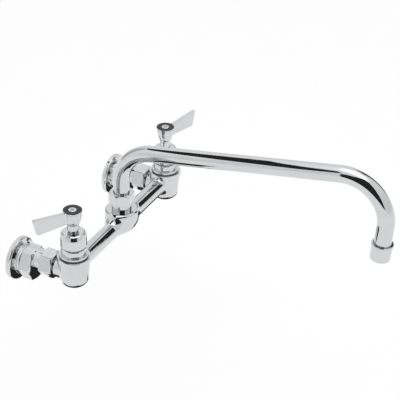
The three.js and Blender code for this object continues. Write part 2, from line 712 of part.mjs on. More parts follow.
function leverHandle() {
  const hub = revolve([
    [0, HUB_Z],
    [HUB_SKIRT_R, HUB_Z],
    [HUB_SKIRT_R, HUB_Z + HUB_SKIRT],
    [HUB_WAIST_R, HUB_Z + HUB_WAIST_HEIGHT],
    [HUB_CROWN_R, HUB_Z + HUB_CROWN_HEIGHT],
    [HUB_TOP_R, HUB_TOP_Z - HUB_TOP_EDGE],
    [HUB_TOP_R - HUB_TOP_EDGE, HUB_TOP_Z],
    [0, HUB_TOP_Z],
  ]);
  const blade = new THREE.ExtrudeGeometry(bladeShape(), {
    depth: BLADE - 2 * BLADE_EDGE,
    bevelThickness: BLADE_EDGE,
    bevelSize: BLADE_EDGE,
    bevelOffset: -BLADE_EDGE,
    bevelSegments: 2,
    curveSegments: 3,
  });
  blade.translate(0, 0, BLADE_EDGE - BLADE / 2).rotateX(Math.PI / 2);
  const across = STEM_SQUARE + 2 * THREAD_GAP;
  const depth = HUB_HOLE_TOP_Z - HUB_Z + 1;
  const square = new THREE.BoxGeometry(across, across, depth);
  const handle = cut(join([solid(hub), solid(blade)]), [
    solid(square.translate(0, 0, HUB_HOLE_TOP_Z - depth / 2)),
    solid(rod(SCREW_R + 2 * THREAD_GAP, HUB_HOLE_TOP_Z - 1, HUB_TOP_Z, TINY_SIDES)),
    solid(rod(RING_R + THREAD_GAP, RECESS_Z, HUB_TOP_Z + 1, SIDES)),
  ]);
  return geometryOf(handle);
}

function indexRing() {
  return ring(RING_HOLE_R, RING_R, RING_Z, RING_Z + RING, SIDES);
}

function handleScrew() {
  const top = RING_Z + SCREW_HEAD;
  const screw = revolve([
    [0, RING_Z - SCREW_LENGTH],
    [SCREW_R, RING_Z - SCREW_LENGTH],
    [SCREW_R, RING_Z],
    [SCREW_HEAD_R, RING_Z],
    [SCREW_HEAD_R, top - SCREW_HEAD / 3],
    [SCREW_HEAD_R - SCREW_HEAD / 3, top],
    [0, top],
  ], SMALL_SIDES);
  const slots = [0, Math.PI / 2].map((turn) => {
    const slot = new THREE.BoxGeometry(SCREW_SLOT_LENGTH, SCREW_SLOT, 2 * SCREW_SLOT_DEPTH);
    return solid(slot.rotateZ(turn).translate(0, 0, top));
  });
  return geometryOf(cut(solid(screw), slots));
}

// ---- Spout -----------------------------------------------------------------------------------------

function spoutFerrule() {
  const groove = FERRULE_R - SPOUT_RING - THREAD_GAP;
  const halfGroove = SPOUT_RING / 2 + SEAT_GAP;
  const grooves = SPOUT_RINGS_ABOVE_FOOT.flatMap((height) => [
    [FERRULE_R, FERRULE_Z + height - halfGroove],
    [groove, FERRULE_Z + height - halfGroove],
    [groove, FERRULE_Z + height + halfGroove],
    [FERRULE_R, FERRULE_Z + height + halfGroove],
  ]);
  const spigot = TUBE_BORE_R - THREAD_GAP;
  return revolve([
    [FERRULE_BORE_R, FERRULE_Z],
    [FERRULE_R, FERRULE_Z],
    ...grooves,
    [FERRULE_R, SHOULDER_Z],
    [NECK_R, SHOULDER_Z],
    [NECK_R, SHOULDER_TOP_Z],
    [spigot, SHOULDER_TOP_Z],
    [spigot, SHOULDER_TOP_Z + FERRULE_SPIGOT],
    [FERRULE_BORE_R, SHOULDER_TOP_Z + FERRULE_SPIGOT],
  ], SMALL_SIDES);
}

function spoutRing(index) {
  return roundRing(FERRULE_R - SPOUT_RING / 2, SPOUT_RING, FERRULE_Z + SPOUT_RINGS_ABOVE_FOOT[index]);
}

function spoutWasher() {
  return ring(TUBE_R + RUNNING_GAP, NECK_R, SPOUT_WASHER_Z, SPOUT_WASHER_Z + SPOUT_WASHER);
}

function spoutNut() {
  const hex = hexPrism(
    SPOUT_NUT_AF, SPOUT_NUT_Z, SPOUT_NUT_TOP_Z, SPOUT_NUT_TURN, SPOUT_NUT_CHAMFER / 2, SPOUT_NUT_CHAMFER,
  );
  const nut = cut(hex, [
    solid(rod(NECK_R + THREAD_GAP, SPOUT_NUT_Z - 1, SPOUT_NUT_LIP_Z)),
    solid(rod(TUBE_R + RUNNING_GAP, SPOUT_NUT_LIP_Z - 1, SPOUT_NUT_TOP_Z + 1)),
  ]);
  return geometryOf(nut);
}

// A path that is given as stations, each a point and the direction there, so that a straight run
// takes one step and each bend takes its own number of steps.
class Stations extends THREE.Curve {
  constructor(stations) {
    super();
    this.stations = stations;
  }
  at(u) {
    return this.stations[Math.round(u * (this.stations.length - 1))];
  }
  getPointAt(u, target = new THREE.Vector3()) {
    return target.copy(this.at(u).point);
  }
  getTangentAt(u, target = new THREE.Vector3()) {
    return target.copy(this.at(u).direction);
  }
}

// The tube's centreline in the plane X = 0: riser, lower bend, sloping arm, upper bend, outlet.
// Distances out from the spout's axis run along -Y.
function spoutStations() {
  const vector = (out, z) => new THREE.Vector3(0, -out, z);
  const heading = (angle) => vector(Math.cos(angle), Math.sin(angle));
  const slope = degrees(ARM_SLOPE);
  const lean = degrees(OUTLET_LEAN);
  const cornerZ = TUBE_Z + ARM_CORNER_ABOVE_FOOT;
  // Length of the outlet's line from the tube's end up to the arm's line
  const rise = OUTLET_BELOW_CORNER + SPOUT_REACH * Math.tan(slope);
  const outlet = rise / (Math.cos(lean) - Math.sin(lean) * Math.tan(slope));
  const corners = [
    vector(0, cornerZ),
    vector(SPOUT_REACH + outlet * Math.sin(lean), TUBE_END_Z + outlet * Math.cos(lean)),
  ];
  const headings = [Math.PI / 2, slope, -Math.PI / 2 - lean];
  const bends = [
    { corner: corners[0], radius: LOWER_BEND_R, steps: LOWER_BEND_STEPS },
    { corner: corners[1], radius: UPPER_BEND_R, steps: UPPER_BEND_STEPS },
  ];
  const stations = [{ point: vector(0, TUBE_Z), direction: heading(headings[0]) }];
  bends.forEach(({ corner, radius, steps }, i) => {
    const turn = headings[i] - headings[i + 1];
    const tangent = radius * Math.tan(turn / 2);
    const start = corner.clone().addScaledVector(heading(headings[i]), -tangent);
    const centre = start.clone().addScaledVector(heading(headings[i] - Math.PI / 2), radius);
    for (let k = 0; k <= steps; k += 1) {
      const angle = headings[i] - (turn * k) / steps;
      const point = centre.clone().addScaledVector(heading(angle + Math.PI / 2), radius);
      stations.push({ point, direction: heading(angle) });
    }
  });
  stations.push({ point: vector(SPOUT_REACH, TUBE_END_Z), direction: heading(headings[2]) });
  return stations;
}

function circle(radius, sides) {
  const points = [];
  for (let k = 0; k < sides; k += 1) {
    const angle = (2 * Math.PI * k) / sides;
    points.push(new THREE.Vector2(radius * Math.cos(angle), radius * Math.sin(angle)));
  }
  return points;
}

function spoutTube() {
  const section = new THREE.Shape(circle(TUBE_R, TUBE_SIDES));
  section.holes.push(new THREE.Path(circle(TUBE_BORE_R, TUBE_SIDES)));
  const stations = spoutStations();
  const path = new Stations(stations);
  return new THREE.ExtrudeGeometry(section, { steps: stations.length - 1, extrudePath: path });
}

// ---- Aerator, along the outlet from the tube's end -------------------------------------------------

function aeratorHousing() {
  const rimZ = AERATOR_SOCKET - AERATOR_RIM;
  const edge = quarter(
    AERATOR_END_R - AERATOR_EDGE, AERATOR_Z + AERATOR_EDGE, AERATOR_EDGE, AERATOR_EDGE, -90, 0, 3,
  );
  return revolve([
    [AERATOR_MOUTH_R, AERATOR_Z],
    ...edge,
    [AERATOR_R, rimZ],
    [AERATOR_RIM_R, rimZ],
    [AERATOR_RIM_R, AERATOR_SOCKET],
    [AERATOR_BORE_R, AERATOR_SOCKET],
    [AERATOR_BORE_R, AERATOR_LEDGE_Z],
    [AERATOR_MOUTH_R, AERATOR_LEDGE_Z],
  ]);
}

function aeratorWasher() {
  const inner = TUBE_R - AERATOR_WASHER_WALL;
  return ring(inner, TUBE_R, AERATOR_WASHER_Z, AERATOR_WASHER_Z + AERATOR_WASHER);
}

function aeratorInsert() {
  const plateZ = INSERT_Z + INSERT_PLATE;
  const cup = revolve([
    [0, INSERT_Z],
    [TUBE_R, INSERT_Z],
    [TUBE_R, INSERT_TOP_Z],
    [TUBE_R - INSERT_WALL, INSERT_TOP_Z],
    [TUBE_R - INSERT_WALL, plateZ],
    [0, plateZ],
  ], SMALL_SIDES);
  const jet = () => rod(JET_R, INSERT_Z - 1, plateZ + 1, 8);
  const jets = [solid(jet())];
  for (let k = 0; k < JETS; k += 1) {
    jets.push(solid(jet().translate(JET_CIRCLE_R, 0, 0).rotateZ((2 * Math.PI * k) / JETS)));
  }
  return geometryOf(cut(solid(cup), jets));
}

// ---- Assembly --------------------------------------------------------------------------------------

function valve(side, x, leverAngle) {
  const group = new THREE.Group();
  group.position.set(x, -WALL_TO_AXIS, 0);

  const union = new THREE.Group();
  union.position.z = UNION_Z;
  union.add(
    piece(`${side}_tailpiece`, tailpiece(), CHROME),
    piece(`${side}_coupling_washer`, couplingWasher(), RUBBER),
    piece(`${side}_coupling_nut`, couplingNut(), CHROME),
  );

  const inlet = new THREE.Group();
  inlet.add(
    piece(`${side}_eccentric_inlet`, eccentricInlet(), CHROME),
    piece(`${side}_inlet_socket`, inletSocket(), CHROME),
    piece(`${side}_wall_flange`, wallFlange(), CHROME),
  );

  const fixedDisc = piece(`${side}_lower_disc`, lowerDisc(), CERAMIC);
  fixedDisc.rotation.z = degrees(leverAngle);
  const lever = new THREE.Group();
  lever.rotation.z = degrees(leverAngle);
  lever.add(
    piece(`${side}_lever_handle`, leverHandle(), CHROME),
    piece(`${side}_index_ring`, indexRing(), DARK_RING),
    piece(`${side}_handle_screw`, handleScrew(), CHROME),
    piece(`${side}_stem`, stem(), CHROME),
    piece(`${side}_stem_oring`, stemRing(), RUBBER),
    piece(`${side}_upper_disc`, upperDisc(), CERAMIC),
  );

  group.add(
    union,
    inlet,
    fixedDisc,
    piece(`${side}_seat_seal`, seatSeal(), RUBBER),
    piece(`${side}_bonnet`, bonnet(), CHROME),
    piece(`${side}_bonnet_washer`, bonnetWasher(), FIBRE),
    piece(`${side}_bonnet_cap`, bonnetCap(), CHROME),
    lever,
  );
  return group;
}

function spout() {
  const group = new THREE.Group();
  group.position.y = -WALL_TO_AXIS;

  const outlet = new THREE.Group();
  outlet.position.set(0, -SPOUT_REACH, TUBE_END_Z);
  outlet.rotation.x = degrees(OUTLET_LEAN);
  outlet.add(
    piece("aerator_housing", aeratorHousing(), CHROME),
    piece("aerator_washer", aeratorWasher(), RUBBER),
    piece("aerator_insert", aeratorInsert(), INSERT),
  );

  group.add(
    piece("spout_nut", spoutNut(), CHROME),
    piece("spout_washer", spoutWasher(), NYLON),
    piece("spout_ferrule", spoutFerrule(), BRASS),
    piece("spout_oring_lower", spoutRing(0), RUBBER),
    piece("spout_oring_upper", spoutRing(1), RUBBER),
    piece("spout_tube", spoutTube(), CHROME),
    outlet,
  );
  return group;
}

const body = piece("faucet_body", faucetBody(), CHROME);
body.position.y = -WALL_TO_AXIS;

const faucet = new THREE.Group();
faucet.add(
  body,
  valve("left", -HALF, LEFT_LEVER_ANGLE),
  valve("right", HALF, RIGHT_LEVER_ANGLE),
  spout(),
);

export default faucet;
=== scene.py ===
"""Wall faucet with two lever handles and a swinging tube spout: smooth pieces, finishes, stage,
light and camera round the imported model. The pieces' sizes are in millimetres and become metres in
put(); the stage, light and camera are in metres."""

import json
import math

import bpy
import numpy as np
from mathutils import Matrix, Quaternion, Vector


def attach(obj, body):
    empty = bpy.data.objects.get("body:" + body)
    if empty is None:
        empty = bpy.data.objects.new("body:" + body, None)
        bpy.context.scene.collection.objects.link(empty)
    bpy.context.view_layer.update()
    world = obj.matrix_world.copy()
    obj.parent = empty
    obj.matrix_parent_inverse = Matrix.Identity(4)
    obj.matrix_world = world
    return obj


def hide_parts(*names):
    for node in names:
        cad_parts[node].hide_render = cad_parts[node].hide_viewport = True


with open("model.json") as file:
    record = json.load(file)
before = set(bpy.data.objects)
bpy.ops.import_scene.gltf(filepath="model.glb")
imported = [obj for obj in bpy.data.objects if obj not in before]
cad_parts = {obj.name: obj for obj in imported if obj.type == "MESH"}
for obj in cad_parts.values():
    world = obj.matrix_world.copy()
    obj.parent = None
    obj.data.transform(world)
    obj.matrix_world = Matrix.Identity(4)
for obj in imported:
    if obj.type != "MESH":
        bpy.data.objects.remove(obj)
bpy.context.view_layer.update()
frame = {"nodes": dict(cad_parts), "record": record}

MM = 0.001
BODY_OF = {n: b for b, names in frame["record"]["behaviour"]["bodies"].items() for n in names}

# ---- Sizes ---------------------------------------------------------------------------------------
# A group of sizes ends in its edge rounding where it has one. An outline is a list of
# (radius, height, fillet) corners, and a box is the (radius, low, high) or the two corners that a
# grid mesh is made in.

HALF_CENTRES = 101.6
WALL_TO_AXIS = 73.0
UNION_Z = 6.35
BORE_EDGE = 0.3

# Body casting
BAR_Z, BAR_R, BAR_FILLET = 12.6, 9.45, 5
CUP_Z, CUP_BOTTOM_R, CUP_TOP_R, CUP_BOTTOM_FILLET = -9.8, 14.6, 17.95, 7.9
RIM_Z, RIM_R, RIM_BAND = 26.5, 18.4, 5.5
RIM_LOW_Z = RIM_Z - RIM_BAND
CUP_INTO_RIM = 1.5
STUB_R, STUB_REACH, STUB_EDGE, STUB_FILLET = 12.5, 20.5, 1.5, 1.8
BOSS_Z, BOSS_ROUND_Z, BOSS_TOP_Z, BOSS_R, BOSS_FLAT_R = 2.4, 20.8, 30.0, 19.2, 2
BOSS_EDGE, BOSS_FILLET = 3, 10
EGG_CENTRE = 1e-4
NECK_R, NECK_TOP_Z = 11.5, 46.0
CASTING_LOW, CASTING_HIGH = (-121.5, -20, -11), (121.5, 22, 31.5)
RIM_OUTLINE = [
    (12, RIM_LOW_Z, 0.1), (RIM_R - 0.3, RIM_LOW_Z, 0.2), (RIM_R, RIM_LOW_Z + 0.3, 0.2),
    (RIM_R, RIM_Z, 0.9), (12, RIM_Z, 0.3),
]
NECK_OUTLINE = [
    (10, BOSS_TOP_Z - 1, 0.1), (NECK_R, BOSS_TOP_Z - 1, 0.1), (NECK_R, NECK_TOP_Z, 0.5),
    (10, NECK_TOP_Z, 0.2),
]

# Union nut, adapter and wall flange, their heights measured from the valve's axis to the wall
COUPLING = {
    "across": 28.6, "low": 22, "high": 37.5, "turn": 20, "chamfer_low": 2.4, "chamfer_high": 1.4,
    "soft": 0.6, "corner": 2.5,
}
COUPLING_BORE_R, COUPLING_THREAD_R, COUPLING_LIP_Z = 8.8, 12, 24.5
COUPLING_BOX, ADAPTER_BOX = (17.5, 21, 38.5), (21, 29.5, 62)
ADAPTER = {
    "across": 34.5, "low": 46.1, "high": 60.8, "turn": 30, "chamfer_low": 2.8, "chamfer_high": 1.2,
    "soft": 0.65, "corner": 0.9,
}
NOSE_R, NOSE_LOW, NOSE_HIGH, NOSE_EDGE, NOSE_FILLET = 11.7, 30.6, 60, 0.5, 0.8
WATERWAY_R, UPPER_BORE_END, LOWER_BORE_START = 7, 57, 53.5
SOCKET_OUTLINE = [(9.5, 60.6, 0.1), (13.5, 60.6, 0.1), (13.5, 72, 0.5), (9.5, 72, 0.5)]
FLANGE_OUTLINE = [
    (13.8, 61.3, 0.3), (16.6, 61.3, 0.6), (16.6, 66.2, 1.2), (19.2, 66.8, 2.5),
    (24.5, 67.7, 2.2), (24.5, 73, 0.4), (23.2, 73, 0.3), (23.2, 69.4, 1.2), (17.2, 68.4, 1.5),
    (13.8, 68.4, 0.4),
]

# Bonnet and its cap
BAND_ACROSS, BAND_TURN, BAND_CORNER = 26.2, 39.5, 9.5
BAND_LOW, BAND_HIGH, BAND_EDGE = 28.5, 38.0, 1.5
COLLAR_R, COLLAR_LOW, COLLAR_HIGH, COLLAR_EDGE, COLLAR_FILLET = 16, 28.1, 30.3, 0.5, 0.3
BARREL_R, BARREL_LOW, BARREL_HIGH, BARREL_EDGE = 10.4, 20, 52, 0.3
BONNET_BOX = (17.5, 19, 53)
CARTRIDGE_OUTLINE = [(0, 8, 0.1), (11.1, 8, 0.1), (11.1, 29, 0.1), (0, 29, 0.1)]
CAP_OUTLINE = [
    (5.1, 52.3, 0.1), (10.7, 52.3, 0.2), (10.7, 39.8, 0.2), (14.4, 39.8, 1.3),
    (14.4, 51.6, 4.0), (12.9, 56.2, 2.0), (11.2, 57.2, 1.2), (5.1, 57.2, 0.35),
]
WASHER_OUTLINE = [(11.4, 26.8, 0.1), (15.2, 26.8, 0.25), (15.2, 27.8, 0.25), (11.4, 27.8, 0.1)]

# Stem, lever handle, index ring and screw
STEM_OUTLINE = [
    (0, 25, 0.1), (5.7, 25, 0.2), (5.7, 48, 0.2), (4.8, 48, 0.2), (4.8, 59.3, 0.2),
    (3.2, 59.3, 0.1), (3.2, 75.4, 0.2), (0, 75.4, 0.1),
]
HUB_Z, HUB_TOP_Z, HUB_EDGE = 59.6, 84.0, 0.3
HUB_HEIGHTS = [0, 3.2, 6.4, 10.2, 13.9, 20.1, 24.4]
HUB_RADII = [6.3, 6.3, 6.45, 7.6, 8.85, 9.6, 10.5]
HUB_SLOPE = 0.96
# The blade's corners from its foot along the lower, outer and upper edge: (reach, height)
BLADE_CORNERS = [(4, 9.7), (44.0, 9.0), (48.8, 28.7), (4, 23.2)]
BLADE_START, BLADE_HALF, BLADE_ROUND, BLADE_EDGE, BLADE_FILLET = 2, 2, 2.0, 0.9, 1.6
RECESS_Z, RECESS_R, RECESS_EDGE = 82.2, 9.8, 0.2
HANDLE_LOW, HANDLE_HIGH = (-11.5, -11.5, 58.8), (50.5, 11.5, 89.5)
LEVER_ANGLES = {"left": 154.0, "right": -16.0}
RING_OUTLINE = [(4.9, 82.5, 0.15), (9.5, 82.5, 0.15), (9.5, 84.1, 0.45), (4.9, 84.1, 0.35)]
HEAD_R, HEAD_LOW, HEAD_HIGH, HEAD_EDGE = 4.5, 82.5, 84.2, 0.55
CROSS_HALF, CROSS_WIDTH, CROSS_Z, CROSS_EDGE = 2.2, 0.45, 83.2, 0.12
SHANK_R, SHANK_LOW, SHANK_HIGH = 1.7, 68.5, 83
SCREW_BOX = (5, 68, 84.6)

# Spout
TUBE_R, TUBE_WALL, TUBE_Z = 9.1, 1.2, 48.6
SPOUT_REACH, TUBE_END_Z = 304.8, 75.5
ARM_SLOPE, ARM_CORNER_Z, OUTLET_LEAN = 10.2, 103.3, 4.0
LOWER_BEND_R, UPPER_BEND_R = 45.5, 44.5
SPOUT_NUT = {
    "across": 25.4, "low": 37.7, "high": 51.5, "turn": 34.6, "chamfer_low": 0.65,
    "chamfer_high": 1.3,
}
SPOUT_NUT_BORE_R, SPOUT_NUT_THREAD_R, SPOUT_NUT_LIP_Z, SPOUT_NUT_EDGE = 9.4, 11.8, 49.9, 0.25
SPOUT_NUT_BOX = (15.5, 36.5, 52.5)
AERATOR_OUTLINE = [
    (8, -12, 0.25), (10.7, -12, 1.5), (10.9, 3.8, 0.15), (11.6, 4.2, 0.35), (11.6, 7, 0.7),
    (9.4, 7, 0.4), (9.4, -10.3, 0.1), (8, -10.3, 0.1),
]

# ---- Mesh helpers --------------------------------------------------------------------------------

# Sides of round pieces, the step along their fillets and bends, the least turn that counts as a
# corner, and the share of an edge that one fillet may take
SIDES, INNER_SIDES, FLANGE_SIDES, TUBE_SIDES = 96, 64, 128, 72
ARC_STEP, BEND_STEPS = math.radians(9), 40
STRAIGHT, EDGE_SHARE = 1e-4, 0.49
# Cells of the grid meshes, the distance within which two of their points are one, the distance over
# which a slope is taken, and how often and how far a point is pulled onto its surface
BODY_GRID, NUT_GRID, HANDLE_GRID, SCREW_GRID = 0.7, 0.5, 0.45, 0.25
WELD, PROBE = 0.002, 0.01
PULLS, LEAST_SLOPE, PULL_SHARE = 4, 0.2, 0.5
TINY = 1e-9
# Where a chamfer starts, as a share of half a hexagon's width, and how far past its corner it ends
CHAMFER_START, CHAMFER_TIP = 0.98, 0.1


def outline(corners, closed):
    """Points and outward directions along an outline of (radius, height, fillet) corners. It runs
    with the solid on its left, so the outward direction is on its right."""
    points, normals = [], []
    count = len(corners)
    at = [np.array(c[:2], float) for c in corners]
    for i, (_, _, fillet) in enumerate(corners):
        if not closed and i in (0, count - 1):
            d = at[1] - at[0] if i == 0 else at[-1] - at[-2]
            d = d / np.linalg.norm(d)
            points.append(at[i])
            normals.append(np.array([d[1], -d[0]]))
            continue
        a, p, b = at[i - 1], at[i], at[(i + 1) % count]
        d1, d2 = (p - a) / np.linalg.norm(p - a), (b - p) / np.linalg.norm(b - p)
        turn = math.atan2(d1[0] * d2[1] - d1[1] * d2[0], float(d1 @ d2))
        if abs(turn) < STRAIGHT:
            points.append(p)
            normals.append(np.array([d1[1], -d1[0]]))
            continue
        tangent = math.tan(abs(turn) / 2)
        reach = min(
            fillet * tangent,
            EDGE_SHARE * np.linalg.norm(p - a),
            EDGE_SHARE * np.linalg.norm(b - p),
        )
        radius = reach / tangent * math.copysign(1, turn)
        n1 = np.array([d1[1], -d1[0]])
        centre = p - d1 * reach - n1 * radius
        steps = max(2, math.ceil(abs(turn) / ARC_STEP))
        for k in range(steps + 1):
            a_k = turn * k / steps
            c, s = math.cos(a_k), math.sin(a_k)
            n = np.array([n1[0] * c - n1[1] * s, n1[0] * s + n1[1] * c])
            points.append(centre + n * radius)
            normals.append(n)
    return np.array(points), np.array(normals)


def lathe(corners, closed=True, sides=SIDES):
    """Round solid about Z from an outline with rounded corners. An open outline starts and ends on
    the axis."""
    points, normals = outline(corners, closed)
    angles = np.arange(sides) * 2 * math.pi / sides
    c, s = np.cos(angles), np.sin(angles)
    verts, norms, rows = [], [], []
    for (r, z), (nr, nz) in zip(points, normals):
        if r < TINY:
            rows.append(np.full(sides, len(verts)))
            verts.append((0.0, 0.0, z))
            norms.append((0.0, 0.0, math.copysign(1.0, nz)))
            continue
        rows.append(len(verts) + np.arange(sides))
        verts.extend(zip(r * c, r * s, np.full(sides, z)))
        norms.extend(zip(nr * c, nr * s, np.full(sides, nz)))
    faces = []
    last = len(rows) if closed else len(rows) - 1
    for i in range(last):
        low, high = rows[i], rows[(i + 1) % len(rows)]
        for j in range(sides):
            k = (j + 1) % sides
            loop = [low[j], low[k], high[k], high[j]]
            face = [v for n, v in enumerate(loop) if v != loop[n - 1]]
            if len(face) > 2:
                faces.append([int(v) for v in face])
    return np.array(verts), faces, np.array(norms)


def around(radius, low, high):
    """Lowest and highest corners of a box about Z."""
    return (-radius, -radius, low), (radius, radius, high)


def iso(field, low, high, step):
    """Closed mesh of the surface where field(x, y, z) is 0, inside the box from low to high: one
    point in each grid cell that the surface crosses, pulled onto it, and a face for each grid edge
    that goes through it."""
    low, high = np.array(low, float), np.array(high, float)
    counts = np.ceil((high - low) / step).astype(int) + 1
    axes = [low[a] + step * np.arange(counts[a]) for a in range(3)]
    values = field(*np.meshgrid(*axes, indexing="ij"))
    inside = values < 0
    corner = inside.astype(np.int8)
    total = sum(
        corner[i:counts[0] - 1 + i, j:counts[1] - 1 + j, k:counts[2] - 1 + k]
        for i in (0, 1) for j in (0, 1) for k in (0, 1)
    )
    active = (total > 0) & (total < 8)
    index = np.full(active.shape, -1, np.int64)
    index[active] = np.arange(active.sum())
    cells = np.argwhere(active)
    sums, hits = np.zeros((len(cells), 3)), np.zeros(len(cells))
    for axis in range(3):
        others = [a for a in range(3) if a != axis]
        for p in (0, 1):
            for q in (0, 1):
                start = cells.copy()
                start[:, others[0]] += p
                start[:, others[1]] += q
                end = start.copy()
                end[:, axis] += 1
                f0, f1 = values[tuple(start.T)], values[tuple(end.T)]
                crossed = (f0 < 0) != (f1 < 0)
                t = f0[crossed] / (f0[crossed] - f1[crossed])
                spot = start[crossed].astype(float)
                spot[:, axis] += t
                sums[crossed] += spot
                hits[crossed] += 1
    verts = low + step * sums / hits[:, None]

    def gradient(v):
        columns = []
        for a in range(3):
            d = np.zeros(3)
            d[a] = PROBE
            columns.append((field(*(v + d).T) - field(*(v - d).T)) / (2 * PROBE))
        return np.stack(columns, 1)

    for _ in range(PULLS):
        g = gradient(verts)
        f = field(*verts.T)
        move = g * (f / np.maximum((g * g).sum(1), LEAST_SLOPE))[:, None]
        reach = np.linalg.norm(move, axis=1)
        share = np.minimum(1, PULL_SHARE * step / np.maximum(reach, TINY))
        verts = verts - move * share[:, None]
    norms = gradient(verts)
    norms /= np.maximum(np.linalg.norm(norms, axis=1), TINY)[:, None]

    faces = []
    for axis in range(3):
        u, v = (axis + 1) % 3, (axis + 2) % 3
        first = [slice(None)] * 3
        second = [slice(None)] * 3
        first[axis], second[axis] = slice(0, -1), slice(1, None)
        a, b = inside[tuple(first)], inside[tuple(second)]
        edges = np.argwhere(a != b)
        edges = edges[(edges[:, u] > 0) & (edges[:, v] > 0)]
        edges = edges[(edges[:, u] < counts[u] - 1) & (edges[:, v] < counts[v] - 1)]
        outward = a[tuple(edges.T)]
        quad = []
        for du, dv in ((-1, -1), (0, -1), (0, 0), (-1, 0)):
            cell = edges.copy()
            cell[:, u] += du
            cell[:, v] += dv
            quad.append(index[tuple(cell.T)])
        quad = np.stack(quad, 1)
        quad[~outward] = quad[~outward][:, ::-1]
        faces.append(quad)
    return welded(verts, np.concatenate(faces), norms)


def welded(verts, faces, norms):
    """The mesh with its coinciding points made one, without the faces that this leaves flat."""
    _, first, same = np.unique(
        np.round(verts / WELD), axis=0, return_index=True, return_inverse=True,
    )
    loops = {}
    for face in same.reshape(-1)[faces].tolist():
        loop = [v for n, v in enumerate(face) if v != face[n - 1]]
        if len(loop) > 2 and len(set(loop)) == len(loop):
            key = tuple(sorted(loop))
            # Two faces back to back on the same points cancel each other
            if loops.pop(key, None) is None:
                loops[key] = loop
    return verts[first], list(loops.values()), norms[first]


def round_max(a, b, r):
    """Overlap of two fields, its edge rounded to radius r."""
    return np.minimum(np.maximum(a, b), -r) + np.hypot(np.maximum(a + r, 0), np.maximum(b + r, 0))


def round_min(a, b, r):
    """Union of two fields, filleted to radius r where they meet."""
    return -round_max(-a, -b, r)


def slab(z, low, high):
    return np.maximum(low - z, z - high)


def spline(z, heights, radii):
    """Smooth radius at height z through the given points."""
    heights, radii = np.array(heights, float), np.array(radii, float)
    slopes = np.gradient(radii, heights)
    k = np.clip(np.searchsorted(heights, z) - 1, 0, len(heights) - 2)
    width = heights[k + 1] - heights[k]
    t = np.clip((z - heights[k]) / width, 0, 1)
    return (
        (2 * t**3 - 3 * t**2 + 1) * radii[k]
        + (t**3 - 2 * t**2 + t) * width * slopes[k]
        + (3 * t**2 - 2 * t**3) * radii[k + 1]
        + (t**3 - t**2) * width * slopes[k + 1]
    )


def hexagon(x, y, across, turn, corner):
    """Distance to a hexagon with rounded corners, one flat's middle at the angle turn."""
    a = math.radians(turn) - math.pi / 2
    px = np.abs(x * math.cos(a) + y * math.sin(a))
    py = np.abs(-x * math.sin(a) + y * math.cos(a))
    half = across / 2 - corner
    kx, ky, kz = -math.sqrt(3) / 2, 0.5, 1 / math.sqrt(3)
    d = 2 * np.minimum(kx * px + ky * py, 0)
    px, py = px - d * kx, py - d * ky
    px, py = px - np.clip(px, -kz * half, kz * half), py - half
    return np.hypot(px, py) * np.sign(py) - corner


def hex_nut(x, y, z, across, low, high, turn, chamfer_low, chamfer_high, soft=0.35, corner=0.35):
    """Hexagon from low to high, its corners cut back by a cone at each end."""
    f = hexagon(x, y, across, turn, corner)
    r = np.hypot(x, y)
    start, tip = across / 2 * CHAMFER_START, across / math.sqrt(3) + CHAMFER_TIP
    for depth, away in ((chamfer_low, low - z), (chamfer_high, z - high)):
        length = math.hypot(depth, tip - start)
        f = round_max(f, ((r - start) * depth + away * (tip - start)) / length, soft)
    return round_max(f, slab(z, low, high), soft)


def sweep(stations, radius, wall, sides=TUBE_SIDES):
    """Tube along stations of (point, direction) in the plane X = 0."""
    angles = np.arange(sides) * 2 * math.pi / sides
    verts, norms, faces = [], [], []
    side = np.array([1.0, 0.0, 0.0])
    rings = [(p, d, radius, 1) for p, d in stations]
    rings += [(p, d, radius - wall, -1) for p, d in reversed(stations)]
    for point, direction, r, sign in rings:
        up = np.cross(direction, side)
        for a in angles:
            n = math.cos(a) * side + math.sin(a) * up
            verts.append(point + r * n)
            norms.append(sign * n)
    for i in range(len(rings)):
        low, high = i * sides, (i + 1) % len(rings) * sides
        for j in range(sides):
            k = (j + 1) % sides
            faces.append([low + j, low + k, high + k, high + j])
    return np.array(verts), faces, np.array(norms)


def joined(*meshes):
    verts, faces, norms, offset = [], [], [], 0
    for v, f, n in meshes:
        verts.append(v)
        norms.append(n)
        faces.extend([i + offset for i in face] for face in f)
        offset += len(v)
    return np.concatenate(verts), faces, np.concatenate(norms)


def moved(mesh, x):
    v, f, n = mesh
    return v + np.array([x, 0, 0]), f, n


def turned(mesh, matrix):
    """The mesh after a rotation given as a 3x3 matrix."""
    v, f, n = mesh
    return v @ matrix.T, f, n @ matrix.T


def about_z(degrees):
    c, s = math.cos(math.radians(degrees)), math.sin(math.radians(degrees))
    return np.array([[c, -s, 0], [s, c, 0], [0, 0, 1.0]])


# From a shape built about Z to one whose heights run along +Y
ALONG_Y = np.array([[1.0, 0, 0], [0, 0, 1.0], [0, -1.0, 0]])


def put(name, mesh, at, material, nodes):
    """Makes the piece, which stands for the CAD nodes and rides on their body."""
    verts, faces, norms = mesh
    data = bpy.data.meshes.new(name)
    data.from_pydata(((verts + np.array(at, float)) * MM).tolist(), [], faces)
    data.shade_smooth()
    data.normals_split_custom_set_from_vertices(norms.tolist())
    data.materials.append(material)
    piece = bpy.data.objects.new(name, data)
    bpy.context.scene.collection.objects.link(piece)
    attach(piece, BODY_OF[nodes[0]])
    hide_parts(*nodes)


# ---- Finishes ------------------------------------------------------------------------------------


